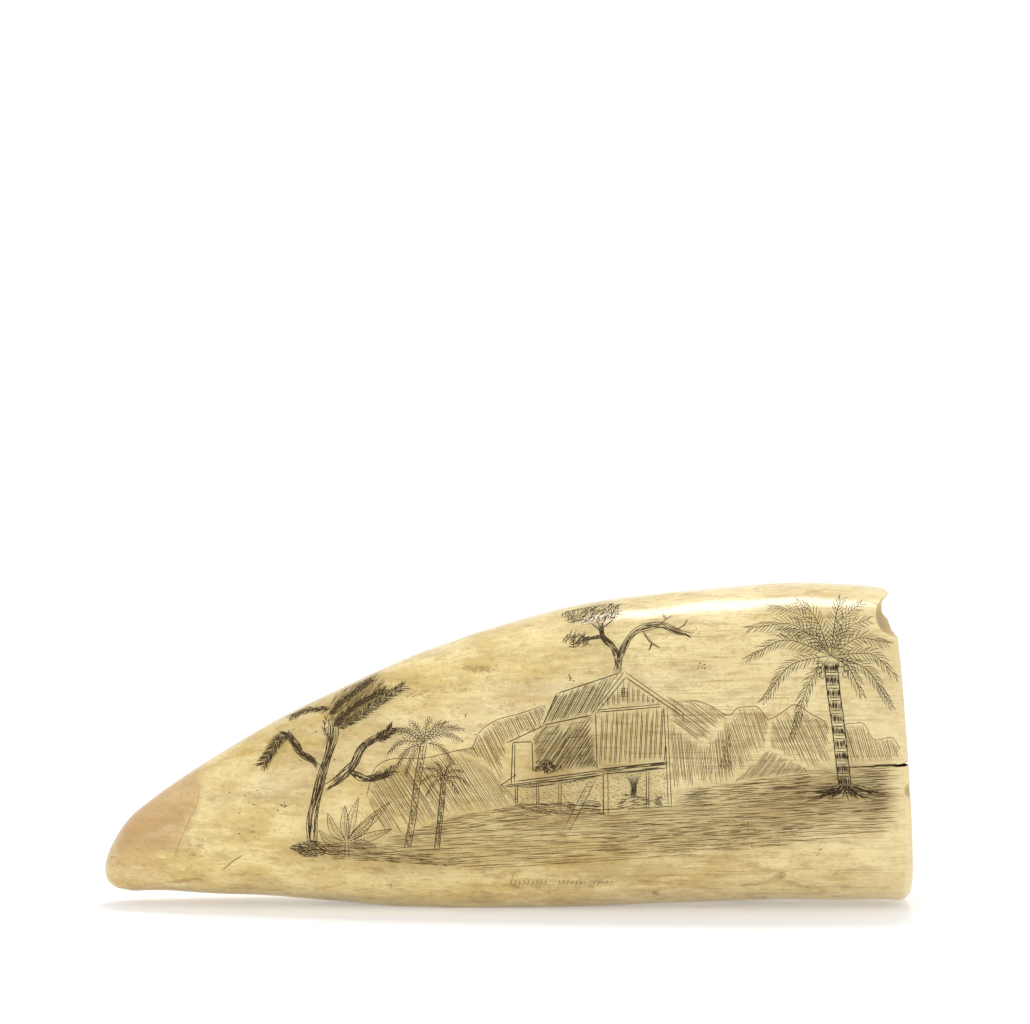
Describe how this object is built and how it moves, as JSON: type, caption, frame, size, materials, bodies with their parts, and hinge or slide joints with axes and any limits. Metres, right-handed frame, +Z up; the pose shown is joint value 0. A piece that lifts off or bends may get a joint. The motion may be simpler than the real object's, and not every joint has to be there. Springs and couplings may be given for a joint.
{
  "type": "scrimshaw whale tooth",
  "caption": "Polished whale tooth with ink-filled engravings on its broad faces; its sawn, cracked and chipped root opens on the pulp cavity.",
  "frame": {"origin": "on the surface that the tooth rests on, under the middle of its bounding box", "axes": "+X along the tooth from the tip to the sawn root, +Z up from the straight edge that it lies on, broad faces look along -Y (scene) and +Y (bird)"},
  "size_m": [0.1698, 0.044, 0.068],
  "materials": {
    "ivory": "polished old ivory, cream to honey yellow with grey-brown clouds",
    "ink": "brown-black ink rubbed into the engraved lines, in the visual model only"
  },
  "bodies": {
    "root": {"tooth": "ivory"}
  },
  "joints": []
}
